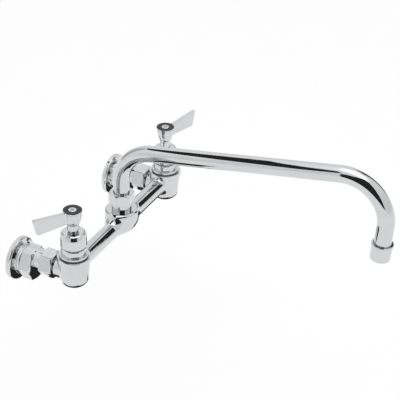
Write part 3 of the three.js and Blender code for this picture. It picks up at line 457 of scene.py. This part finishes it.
class Graph:
    """A material's nodes, added and linked by name."""

    def __init__(self, name):
        self.material = bpy.data.materials.new(name)
        self.material.use_nodes = True
        self.tree = self.material.node_tree
        self.shader = self.tree.nodes["Principled BSDF"]
        self.place = self.add("ShaderNodeTexCoord").outputs["Object"]

    def add(self, kind, inputs=None, **settings):
        node = self.tree.nodes.new(kind)
        for key, value in settings.items():
            setattr(node, key, value)
        for key, value in (inputs or {}).items():
            self.set(node.inputs[key], value)
        return node

    def set(self, socket, value):
        if isinstance(value, bpy.types.NodeSocket):
            self.tree.links.new(value, socket)
        else:
            socket.default_value = value

    def noise(self, scale, detail=2.0, roughness=0.5, stretch=None):
        place = self.place
        if stretch:
            place = self.add("ShaderNodeMapping", {"Vector": place, "Scale": stretch}).outputs[0]
        node = self.add(
            "ShaderNodeTexNoise",
            {"Vector": place, "Scale": scale, "Detail": detail, "Roughness": roughness},
        )
        return node.outputs["Fac"]

    def remap(self, value, span, to_low=0.0, to_high=1.0):
        node = self.add(
            "ShaderNodeMapRange",
            {
                "Value": value, "From Min": span[0], "From Max": span[1],
                "To Min": to_low, "To Max": to_high,
            },
        )
        return node.outputs["Result"]

    def blend(self, factor, a, b):
        node = self.add("ShaderNodeMix", data_type="RGBA")
        self.set(node.inputs["Factor"], factor)
        color_a, color_b = node.inputs[6], node.inputs[7]
        color_a.default_value, color_b.default_value = (*a, 1), (*b, 1)
        return node.outputs[2]

    def bump(self, height, distance, strength=1.0, normal=None):
        inputs = {"Height": height, "Distance": distance, "Strength": strength}
        node = self.add("ShaderNodeBump", inputs)
        if normal is not None:
            self.set(node.inputs["Normal"], normal)
        return node.outputs["Normal"]

    def finish(self, **inputs):
        for key, value in inputs.items():
            self.set(self.shader.inputs[key.replace("_", " ").title()], value)
        return self.material

    def show(self, shader):
        self.set(self.tree.nodes["Material Output"].inputs["Surface"], shader)
        return self.material


# The middle of a noise's range, over which a finish goes from its one end to the other
MOTTLE = (0.3, 0.7)
CHROME_DARK, CHROME_LIGHT = (0.63, 0.636, 0.644), (0.665, 0.671, 0.678)
CHROME_ROUGH, CAST_ROUGH, TUBE_ROUGH = (0.035, 0.075), (0.04, 0.085), (0.03, 0.065)
CHROME_MOTTLE = (0.15, 0.35)
HAZE_SCALE, HAZE_DETAIL = 38, 3
WIPE_SCALE, WIPE_DETAIL, WIPE_ROUGHNESS, WIPE_DEPTH, WIPE_STRENGTH = 900, 2, 0.6, 0.0000025, 0.5
GRAIN_DETAIL, GRAIN_ROUGHNESS = 4, 0.6
RING_SPECULAR = 0.25


def chrome(name, wave, wave_scale, fine_stretch, rough=CHROME_ROUGH):
    """Bright nickel-chrome plate: a slow waviness left by casting or polishing, hairline wipe marks
    and faint haze."""
    g = Graph(name)
    haze = g.noise(HAZE_SCALE, HAZE_DETAIL)
    wipe = g.noise(WIPE_SCALE, WIPE_DETAIL, WIPE_ROUGHNESS, fine_stretch)
    color = g.blend(g.remap(haze, MOTTLE), CHROME_DARK, CHROME_LIGHT)
    mixed = g.add("ShaderNodeMath", {0: haze, 1: wipe}, operation="MULTIPLY").outputs[0]
    roughness = g.remap(mixed, CHROME_MOTTLE, *rough)
    slow = g.bump(g.noise(wave_scale, 1), wave)
    normal = g.bump(wipe, WIPE_DEPTH, WIPE_STRENGTH, slow)
    return g.finish(metallic=1.0, base_color=color, roughness=roughness, normal=normal)


def plain(name, dark, light, scale, rough, bump_distance, metallic=0.0):
    """Finish for the small and inner pieces: mottled colour, uneven gloss and a fine grain."""
    g = Graph(name)
    grain = g.noise(scale, GRAIN_DETAIL, GRAIN_ROUGHNESS)
    color = g.blend(g.remap(grain, MOTTLE), dark, light)
    roughness = g.remap(grain, MOTTLE, *rough)
    normal = g.bump(grain, bump_distance)
    return g.finish(metallic=metallic, base_color=color, roughness=roughness, normal=normal)


CAST = chrome("cast_chrome", 0.00007, 55, (1, 1, 1), CAST_ROUGH)
TURNED = chrome("turned_chrome", 0.00002, 70, (0.2, 0.2, 3))
TUBE = chrome("tube_chrome", 0.00003, 30, (3, 0.15, 3), TUBE_ROUGH)
MACHINED = chrome("machined_chrome", 0.00002, 90, (1, 1, 1))
# Name, its darker and lighter colour, grain scale, roughness from and to, grain depth, metallic
BRASS = plain(
    "inner_brass", (0.66, 0.52, 0.30), (0.74, 0.60, 0.37), 600, (0.25, 0.4), 0.000005, 1.0,
)
RUBBER = plain(
    "seal_rubber", (0.085, 0.085, 0.09), (0.12, 0.12, 0.125), 900, (0.55, 0.75), 0.00001,
)
CERAMIC = plain(
    "disc_ceramic", (0.9, 0.89, 0.87), (0.95, 0.945, 0.93), 300, (0.15, 0.3), 0.000002,
)
FIBRE = plain(
    "washer_fibre", (0.26, 0.255, 0.25), (0.34, 0.335, 0.33), 1400, (0.6, 0.8), 0.00002,
)
NYLON = plain(
    "washer_nylon", (0.86, 0.85, 0.82), (0.91, 0.905, 0.88), 500, (0.4, 0.55), 0.000005,
)
RING = plain(
    "index_ring", (0.012, 0.0125, 0.014), (0.03, 0.031, 0.033), 700, (0.2, 0.34), 0.000008,
)
ring_shader = RING.node_tree.nodes["Principled BSDF"]
ring_shader.inputs["Specular IOR Level"].default_value = RING_SPECULAR
INSERT = plain(
    "aerator_insert", (0.55, 0.56, 0.57), (0.64, 0.65, 0.66), 700, (0.35, 0.5), 0.000008,
)
SLOT_FINISH = {
    "chrome": MACHINED, "brass": BRASS, "rubber": RUBBER, "ceramic": CERAMIC, "fibre": FIBRE,
    "nylon": NYLON, "dark_ring": RING, "insert": INSERT,
}
for part in frame["record"]["subparts"]:
    materials = frame["nodes"][part["node"]].data.materials
    materials.clear()
    materials.append(SLOT_FINISH[part["material_slot"]])

# ---- Body casting --------------------------------------------------------------------------------


def body_field(x, y, z):
    ax = np.abs(x) - HALF_CENTRES
    r = np.hypot(ax, y)
    lean = math.atan2(CUP_TOP_R - CUP_BOTTOM_R, RIM_Z - CUP_Z)
    side = (r - CUP_BOTTOM_R - (z - CUP_Z) * math.tan(lean)) * math.cos(lean)
    cup = round_max(side, CUP_Z - z, CUP_BOTTOM_FILLET)
    cup = np.maximum(cup, z - (RIM_LOW_Z + CUP_INTO_RIM))
    stub = np.hypot(ax, z - UNION_Z) - STUB_R
    stub = round_max(stub, slab(y, 0, STUB_REACH), STUB_EDGE)
    bar = np.hypot(y, z - BAR_Z) - BAR_R
    bar = np.maximum(bar, np.abs(x) - HALF_CENTRES)
    # Centre boss: upright wall above, ellipsoid with a flat middle below
    br = np.hypot(x, y)
    round_r, depth = BOSS_R - BOSS_FLAT_R, BOSS_ROUND_Z - BOSS_Z
    er, ez = np.maximum(br - BOSS_FLAT_R, 0) / round_r, np.minimum(z - BOSS_ROUND_Z, 0) / depth
    k0 = np.hypot(er, ez)
    k1 = np.hypot(er / round_r, ez / depth)
    egg = k0 * (k0 - 1) / np.maximum(k1, EGG_CENTRE)
    boss = np.where(z > BOSS_ROUND_Z, br - BOSS_R, egg)
    boss = round_max(boss, z - BOSS_TOP_Z, BOSS_EDGE)
    f = round_min(cup, stub, STUB_FILLET)
    f = round_min(f, bar, BAR_FILLET)
    return round_min(f, boss, BOSS_FILLET)


axis_y = -WALL_TO_AXIS
rim = lathe(RIM_OUTLINE)
casting = joined(
    iso(body_field, CASTING_LOW, CASTING_HIGH, BODY_GRID),
    moved(rim, -HALF_CENTRES), moved(rim, HALF_CENTRES), lathe(NECK_OUTLINE),
)
put("body_casting", casting, (0, axis_y, 0), CAST, ["faucet_body"])

# ---- Inlets, bonnets and levers ------------------------------------------------------------------


def coupling_field(x, y, z):
    f = hex_nut(x, y, z, **COUPLING)
    r = np.hypot(x, y)
    f = round_max(f, COUPLING_BORE_R - r, BORE_EDGE)
    return np.maximum(f, -np.maximum(r - COUPLING_THREAD_R, COUPLING_LIP_Z - z))


def inlet_field(x, y, z):
    f = hex_nut(x, y, z, **ADAPTER)
    upper_r, lower_r = np.hypot(x, y + UNION_Z), np.hypot(x, y)
    nose = round_max(upper_r - NOSE_R, slab(z, NOSE_LOW, NOSE_HIGH), NOSE_EDGE)
    f = round_min(f, nose, NOSE_FILLET)
    upper_bore = np.maximum(upper_r - WATERWAY_R, z - UPPER_BORE_END)
    lower_bore = np.maximum(lower_r - WATERWAY_R, LOWER_BORE_START - z)
    return np.maximum(f, -np.minimum(upper_bore, lower_bore))


def bonnet_field(x, y, z):
    r = np.hypot(x, y)
    band = hexagon(x, y, BAND_ACROSS, BAND_TURN, BAND_CORNER)
    band = round_max(band, slab(z, BAND_LOW, BAND_HIGH), BAND_EDGE)
    collar = round_max(r - COLLAR_R, slab(z, COLLAR_LOW, COLLAR_HIGH), COLLAR_EDGE)
    barrel = round_max(r - BARREL_R, slab(z, BARREL_LOW, BARREL_HIGH), BARREL_EDGE)
    return np.minimum(round_min(band, collar, COLLAR_FILLET), barrel)


def handle_field(x, y, z):
    """Lever handle with its blade towards +X."""
    r = np.hypot(x, y)
    hub_r = spline(z - HUB_Z, HUB_HEIGHTS, HUB_RADII)
    hub = round_max((r - hub_r) * HUB_SLOPE, slab(z, HUB_Z, HUB_TOP_Z), HUB_EDGE)
    blade = None
    for (r0, z0), (r1, z1) in zip(BLADE_CORNERS, BLADE_CORNERS[1:]):
        length = math.hypot(r1 - r0, z1 - z0)
        edge = ((x - r0) * (z1 - z0) - (z - HUB_Z - z0) * (r1 - r0)) / length
        blade = edge if blade is None else round_max(blade, edge, BLADE_ROUND)
    blade = round_max(np.maximum(blade, BLADE_START - x), np.abs(y) - BLADE_HALF, BLADE_EDGE)
    f = round_min(hub, blade, BLADE_FILLET)
    recess = round_max(r - RECESS_R, RECESS_Z - z, RECESS_EDGE)
    return np.maximum(f, -recess)


def screw_field(x, y, z):
    r = np.hypot(x, y)
    head = round_max(r - HEAD_R, slab(z, HEAD_LOW, HEAD_HIGH), HEAD_EDGE)
    for a, b in ((x, y), (y, x)):
        slot = np.maximum(np.abs(a) - CROSS_HALF, np.abs(b) - CROSS_WIDTH)
        head = round_max(head, -np.maximum(slot, CROSS_Z - z), CROSS_EDGE)
    return np.minimum(head, np.maximum(r - SHANK_R, slab(z, SHANK_LOW, SHANK_HIGH)))


coupling = turned(iso(coupling_field, *around(*COUPLING_BOX), NUT_GRID), ALONG_Y)
inlet = turned(
    joined(iso(inlet_field, *around(*ADAPTER_BOX), NUT_GRID), lathe(SOCKET_OUTLINE)), ALONG_Y,
)
flange = turned(lathe(FLANGE_OUTLINE, sides=FLANGE_SIDES), ALONG_Y)
bonnet = joined(
    iso(bonnet_field, *around(*BONNET_BOX), NUT_GRID),
    lathe(CARTRIDGE_OUTLINE, closed=False, sides=INNER_SIDES),
)
cap, washer, ring = lathe(CAP_OUTLINE), lathe(WASHER_OUTLINE), lathe(RING_OUTLINE)
stem = lathe(STEM_OUTLINE, closed=False, sides=INNER_SIDES)
handle = iso(handle_field, HANDLE_LOW, HANDLE_HIGH, HANDLE_GRID)
screw = iso(screw_field, *around(*SCREW_BOX), SCREW_GRID)

for side, x in (("left", -HALF_CENTRES), ("right", HALF_CENTRES)):
    at = (x, axis_y, 0)
    union = (x, axis_y, UNION_Z)
    turn = about_z(LEVER_ANGLES[side])
    sockets = [f"{side}_eccentric_inlet", f"{side}_inlet_socket"]
    put(f"{side}_union_nut", coupling, union, MACHINED, [f"{side}_coupling_nut"])
    put(f"{side}_adapter", inlet, at, MACHINED, sockets)
    put(f"{side}_escutcheon", flange, at, TURNED, [f"{side}_wall_flange"])
    put(f"{side}_bonnet_piece", bonnet, at, MACHINED, [f"{side}_bonnet"])
    put(f"{side}_cap_piece", cap, at, TURNED, [f"{side}_bonnet_cap"])
    put(f"{side}_washer_piece", washer, at, FIBRE, [f"{side}_bonnet_washer"])
    put(f"{side}_stem_piece", stem, at, MACHINED, [f"{side}_stem"])
    put(f"{side}_ring_piece", ring, at, RING, [f"{side}_index_ring"])
    put(f"{side}_handle_piece", turned(handle, turn), at, CAST, [f"{side}_lever_handle"])
    put(f"{side}_screw_piece", turned(screw, turn), at, MACHINED, [f"{side}_handle_screw"])

# ---- Spout ---------------------------------------------------------------------------------------


def spout_stations():
    """Centreline as (point, direction) pairs: riser, bend, sloping arm, bend, outlet."""
    slope, lean = math.radians(ARM_SLOPE), math.radians(OUTLET_LEAN)

    def out(distance, z):
        return np.array([0.0, -distance, z])

    def heading(angle):
        return out(math.cos(angle), math.sin(angle))

    rise = ARM_CORNER_Z - TUBE_END_Z + SPOUT_REACH * math.tan(slope)
    outlet = rise / (math.cos(lean) - math.sin(lean) * math.tan(slope))
    corners = [
        out(0, ARM_CORNER_Z),
        out(SPOUT_REACH + outlet * math.sin(lean), TUBE_END_Z + outlet * math.cos(lean)),
    ]
    headings = [math.pi / 2, slope, -math.pi / 2 - lean]
    stations = [(out(0, TUBE_Z), heading(headings[0]))]
    for i, radius in enumerate((LOWER_BEND_R, UPPER_BEND_R)):
        turn = headings[i] - headings[i + 1]
        tangent = radius * math.tan(turn / 2)
        start = corners[i] - heading(headings[i]) * tangent
        centre = start + heading(headings[i] - math.pi / 2) * radius
        for k in range(BEND_STEPS + 1):
            angle = headings[i] - turn * k / BEND_STEPS
            stations.append((centre + heading(angle + math.pi / 2) * radius, heading(angle)))
    stations.append((out(SPOUT_REACH, TUBE_END_Z), heading(headings[2])))
    return stations


def spout_nut_field(x, y, z):
    f = hex_nut(x, y, z, **SPOUT_NUT)
    r = np.hypot(x, y)
    f = round_max(f, SPOUT_NUT_BORE_R - r, SPOUT_NUT_EDGE)
    return np.maximum(f, -np.maximum(r - SPOUT_NUT_THREAD_R, z - SPOUT_NUT_LIP_Z))


pipe = sweep(spout_stations(), TUBE_R, TUBE_WALL)
spout_nut = iso(spout_nut_field, *around(*SPOUT_NUT_BOX), HANDLE_GRID)
cos_lean, sin_lean = (f(math.radians(OUTLET_LEAN)) for f in (math.cos, math.sin))
about_x = np.array([[1.0, 0, 0], [0, cos_lean, -sin_lean], [0, sin_lean, cos_lean]])
shell = turned(lathe(AERATOR_OUTLINE), about_x)
put("spout_pipe", pipe, (0, axis_y, 0), TUBE, ["spout_tube"])
put("spout_hex", spout_nut, (0, axis_y, 0), MACHINED, ["spout_nut"])
put("aerator_shell", shell, (0, axis_y - SPOUT_REACH, TUBE_END_Z), TURNED, ["aerator_housing"])

# ---- Stage, light and camera ---------------------------------------------------------------------

scene = bpy.context.scene
FLOOR_Z, FLOOR_HALF = -0.16, 6
PAPER_DARK, PAPER_LIGHT, PAPER_ROUGHNESS = (0.93,) * 3, (0.96,) * 3, 0.9
SPECK_SCALE, SPECK_DETAIL = 14, 3
# Share of plain white in the floor as camera, reflections and glass see it: the rest keeps the
# object's shadow
FLOOR_WHITE = 0.8
# The world's light on things, and its strength where it is seen
WORLD_LIGHT, WORLD_WHITE = 0.6, 1.0


def seen(tree):
    """1 for what camera, reflections and glass see, 0 for the light that falls on things."""
    path = tree.nodes.new("ShaderNodeLightPath")
    total = path.outputs["Is Camera Ray"]
    for kind in ("Is Glossy Ray", "Is Transmission Ray"):
        add = tree.nodes.new("ShaderNodeMath")
        add.operation, add.use_clamp = "ADD", True
        tree.links.new(total, add.inputs[0])
        tree.links.new(path.outputs[kind], add.inputs[1])
        total = add.outputs[0]
    return total


def staged(name, data):
    """A floor, tent or card from its mesh: part of the stage, not of the object."""
    obj = bpy.data.objects.new(name, data)
    scene.collection.objects.link(obj)
    return obj


def only_reflected(obj):
    obj.visible_camera = obj.visible_diffuse = obj.visible_shadow = False


g = Graph("pale_floor")
paper = g.blend(g.remap(g.noise(SPECK_SCALE, SPECK_DETAIL), MOTTLE), PAPER_DARK, PAPER_LIGHT)
g.finish(base_color=paper, roughness=PAPER_ROUGHNESS)
share = g.add("ShaderNodeMath", {0: seen(g.tree), 1: FLOOR_WHITE}, operation="MULTIPLY")
glow = g.add("ShaderNodeEmission", {"Color": (1, 1, 1, 1), "Strength": 1.0})
mix = g.add(
    "ShaderNodeMixShader", {0: share.outputs[0], 1: g.shader.outputs[0], 2: glow.outputs[0]},
)
floor_mesh = bpy.data.meshes.new("floor")
floor_mesh.from_pydata(
    [(x * FLOOR_HALF, y * FLOOR_HALF, FLOOR_Z) for x, y in ((-1, -1), (1, -1), (1, 1), (-1, 1))],
    [], [(0, 1, 2, 3)],
)
floor_mesh.materials.append(g.show(mix.outputs[0]))
staged("floor", floor_mesh)

world = bpy.data.worlds.new("studio")
scene.world = world
world.use_nodes = True
background = world.node_tree.nodes["Background"]
level = world.node_tree.nodes.new("ShaderNodeMapRange")
level.inputs["To Min"].default_value = WORLD_LIGHT
level.inputs["To Max"].default_value = WORLD_WHITE
world.node_tree.links.new(seen(world.node_tree), level.inputs["Value"])
background.inputs["Color"].default_value = (1, 1, 1, 1)
world.node_tree.links.new(level.outputs["Result"], background.inputs["Strength"])

LAMP_AT, LAMP_AIM = Vector((0.1, -0.3, 2.0)), Vector((0, -0.25, 0))
LAMP_SIZE, LAMP_WATTS = 2.2, 27

lamp_data = bpy.data.lights.new("overhead", "AREA")
lamp_data.shape, lamp_data.size, lamp_data.energy = "SQUARE", LAMP_SIZE, LAMP_WATTS
lamp = bpy.data.objects.new("overhead", lamp_data)
lamp.location = LAMP_AT
lamp.rotation_mode = "QUATERNION"
lamp.rotation_quaternion = (LAMP_AIM - LAMP_AT).to_track_quat("-Z", "Y")
lamp.visible_glossy = False
scene.collection.objects.link(lamp)

# The tent round the object, as its chrome sees it: white cloth, a little dimmer near the horizon,
# a brighter roof, and a lighter wall side with a dim patch in it. Azimuths go from +X towards +Y;
# all angles are in degrees.
TENT_AT, TENT_R, TENT_STEP, TENT_LOW = (0.0, -0.2, 0.06), 3.0, 1.5, -12
CLOTH = 0.92
HORIZON_DIM, HORIZON_AT, HORIZON_SPREAD = 0.1, 8, 22
ROOF_GAIN, ROOF_RISE = 0.55, (56, 68)
WALL_GAIN, WALL_RISE, WALL_FALL = 0.1, (20, 50), (120, 150)
PATCH_DIM, PATCH_AT, PATCH_SPREAD, PATCH_TOP = 0.5, 82, 17, (38, 50)


def smooth(value, low, high):
    t = np.clip((value - low) / (high - low), 0, 1)
    return t * t * (3 - 2 * t)


def bell(value, middle, spread):
    return np.exp(-((value - middle) / spread) ** 2)


def tent_shade(azimuth, elevation):
    shade = CLOTH - HORIZON_DIM * bell(elevation, HORIZON_AT, HORIZON_SPREAD)
    shade = shade + ROOF_GAIN * smooth(elevation, *ROOF_RISE)
    wall = WALL_GAIN * smooth(azimuth, *WALL_RISE) * (1 - smooth(azimuth, *WALL_FALL))
    patch = bell(azimuth, PATCH_AT, PATCH_SPREAD) * (1 - smooth(elevation, *PATCH_TOP))
    return shade + wall - PATCH_DIM * patch


def tent():
    azimuths = np.arange(0, 360, TENT_STEP)
    elevations = np.arange(TENT_LOW, 90 + TENT_STEP / 2, TENT_STEP)
    az, el = np.meshgrid(azimuths, elevations, indexing="ij")
    a, e = np.radians(az), np.radians(el)
    points = np.stack([np.cos(e) * np.cos(a), np.cos(e) * np.sin(a), np.sin(e)], -1) * TENT_R
    points = (points + np.array(TENT_AT)).reshape(-1, 3)
    rows, columns = az.shape
    faces = [
        (i * columns + j, i * columns + j + 1, (i + 1) % rows * columns + j + 1,
         (i + 1) % rows * columns + j)
        for i in range(rows) for j in range(columns - 1)
    ]
    data = bpy.data.meshes.new("tent")
    data.from_pydata(points.tolist(), [], faces)
    shade = tent_shade(az, el).reshape(-1)
    attribute = data.attributes.new("shade", "FLOAT", "POINT")
    attribute.data.foreach_set("value", shade.astype(np.float32))
    cloth = Graph("tent_cloth")
    value = cloth.add("ShaderNodeAttribute", attribute_name="shade").outputs["Fac"]
    emission = cloth.add("ShaderNodeEmission", {"Color": (1, 1, 1, 1), "Strength": value})
    data.materials.append(cloth.show(emission.outputs[0]))
    only_reflected(staged("tent", data))


tent()

NAP_SCALE, NAP_DETAIL, NAP_DARK, NAP_LIGHT = 60, 3, (0.008,) * 3, (0.014,) * 3


def flag(name, centre, facing, corners, tilt=0.0):
    """Black card that only the reflections see. Its corners are (right, up) from its centre and it
    is turned anticlockwise by tilt, both as the object sees it."""
    centre = Vector(centre)
    turn = (Vector(facing) - centre).to_track_quat("Z", "Y")
    turn = turn @ Quaternion((0, 0, 1), math.radians(tilt))
    data = bpy.data.meshes.new(name)
    data.from_pydata(
        [centre + turn @ Vector((x, y, 0)) for x, y in corners], [], [tuple(range(len(corners)))],
    )
    cloth = Graph(name + "_cloth")
    nap = cloth.blend(cloth.noise(NAP_SCALE, NAP_DETAIL), NAP_DARK, NAP_LIGHT)
    data.materials.append(cloth.finish(base_color=nap, roughness=1.0))
    only_reflected(staged(name, data))


def card(width, height):
    x, y = width / 2, height / 2
    return [(-x, -y), (x, -y), (x, y), (-x, y)]


DARK_TOP_AT, DARK_SIDE_AT = (-0.0724, 0.2105, 0.4916), (-0.46406, -0.2735, 0.23101)
DARK_TOP = [(-0.57, 0.0), (0.2, 0.0), (0.2, 0.2), (-0.57, 0.2)]
DARK_SIDE = [
    (0.135, -0.18), (0.135, 0.165), (0.05, 0.2), (-0.04, 0.25), (-0.09, 0.31), (-0.165, 0.39),
    (-0.225, 0.46), (-0.3, 0.54), (-0.45, 0.55), (-0.485, 0.25), (-0.5, -0.18),
]
SIDE_FLAG_AT, SIDE_FLAG_FACING, SIDE_FLAG_TILT = (0.519, -0.434, 0.319), (0, -0.073, 0.012), 12
SIDE_FLAG = card(0.23, 0.52)
# Black cards below each valve, seen only in reflections: they darken what the chrome's downward
# faces reflect
LOW_CARD_X = {"near_low_card": -0.074, "far_low_card": 0.129}
LOW_CARD_Y, LOW_CARD_Z, LOW_CARD = -0.062, -0.07, card(0.128, 0.11)

flag("dark_top", DARK_TOP_AT, TENT_AT, DARK_TOP)
flag("dark_side", DARK_SIDE_AT, TENT_AT, DARK_SIDE)
flag("side_flag", SIDE_FLAG_AT, SIDE_FLAG_FACING, SIDE_FLAG, SIDE_FLAG_TILT)
for name, x in LOW_CARD_X.items():
    flag(name, (x, LOW_CARD_Y, LOW_CARD_Z), (x, LOW_CARD_Y, 0), LOW_CARD)

CAMERA_AT = Vector((-1.1206, -0.7326, 0.8616))
CAMERA_HEADING, CAMERA_DOWN, CAMERA_ROLL = (math.radians(a) for a in (28.333, 30.241, 0.424))
CAMERA_LENS, CAMERA_SENSOR = 123.75, 36.0
CLIP_START, CLIP_END = 0.05, 50
# The photo's width and height, and the point of it that the lens looks straight at, in pixels
IMAGE, PRINCIPAL_X, PRINCIPAL_Y = 400.0, 165.665, 150.631

forward = Vector((
    math.cos(CAMERA_HEADING) * math.cos(CAMERA_DOWN),
    math.sin(CAMERA_HEADING) * math.cos(CAMERA_DOWN),
    -math.sin(CAMERA_DOWN),
))
level_right = Vector((math.sin(CAMERA_HEADING), -math.cos(CAMERA_HEADING), 0))
level_up = level_right.cross(forward)
right = level_right * math.cos(CAMERA_ROLL) + level_up * math.sin(CAMERA_ROLL)
up = -level_right * math.sin(CAMERA_ROLL) + level_up * math.cos(CAMERA_ROLL)
camera_data = bpy.data.cameras.new("camera")
camera_data.sensor_width = CAMERA_SENSOR
camera_data.lens = CAMERA_LENS
camera_data.shift_x = (IMAGE / 2 - PRINCIPAL_X) / IMAGE
camera_data.shift_y = (PRINCIPAL_Y - IMAGE / 2) / IMAGE
camera_data.clip_start, camera_data.clip_end = CLIP_START, CLIP_END
camera = bpy.data.objects.new("camera", camera_data)
camera.matrix_world = Matrix((
    (right.x, up.x, -forward.x, CAMERA_AT.x),
    (right.y, up.y, -forward.y, CAMERA_AT.y),
    (right.z, up.z, -forward.z, CAMERA_AT.z),
    (0, 0, 0, 1),
))
scene.collection.objects.link(camera)
scene.camera = camera
scene.view_settings.view_transform = "Standard"
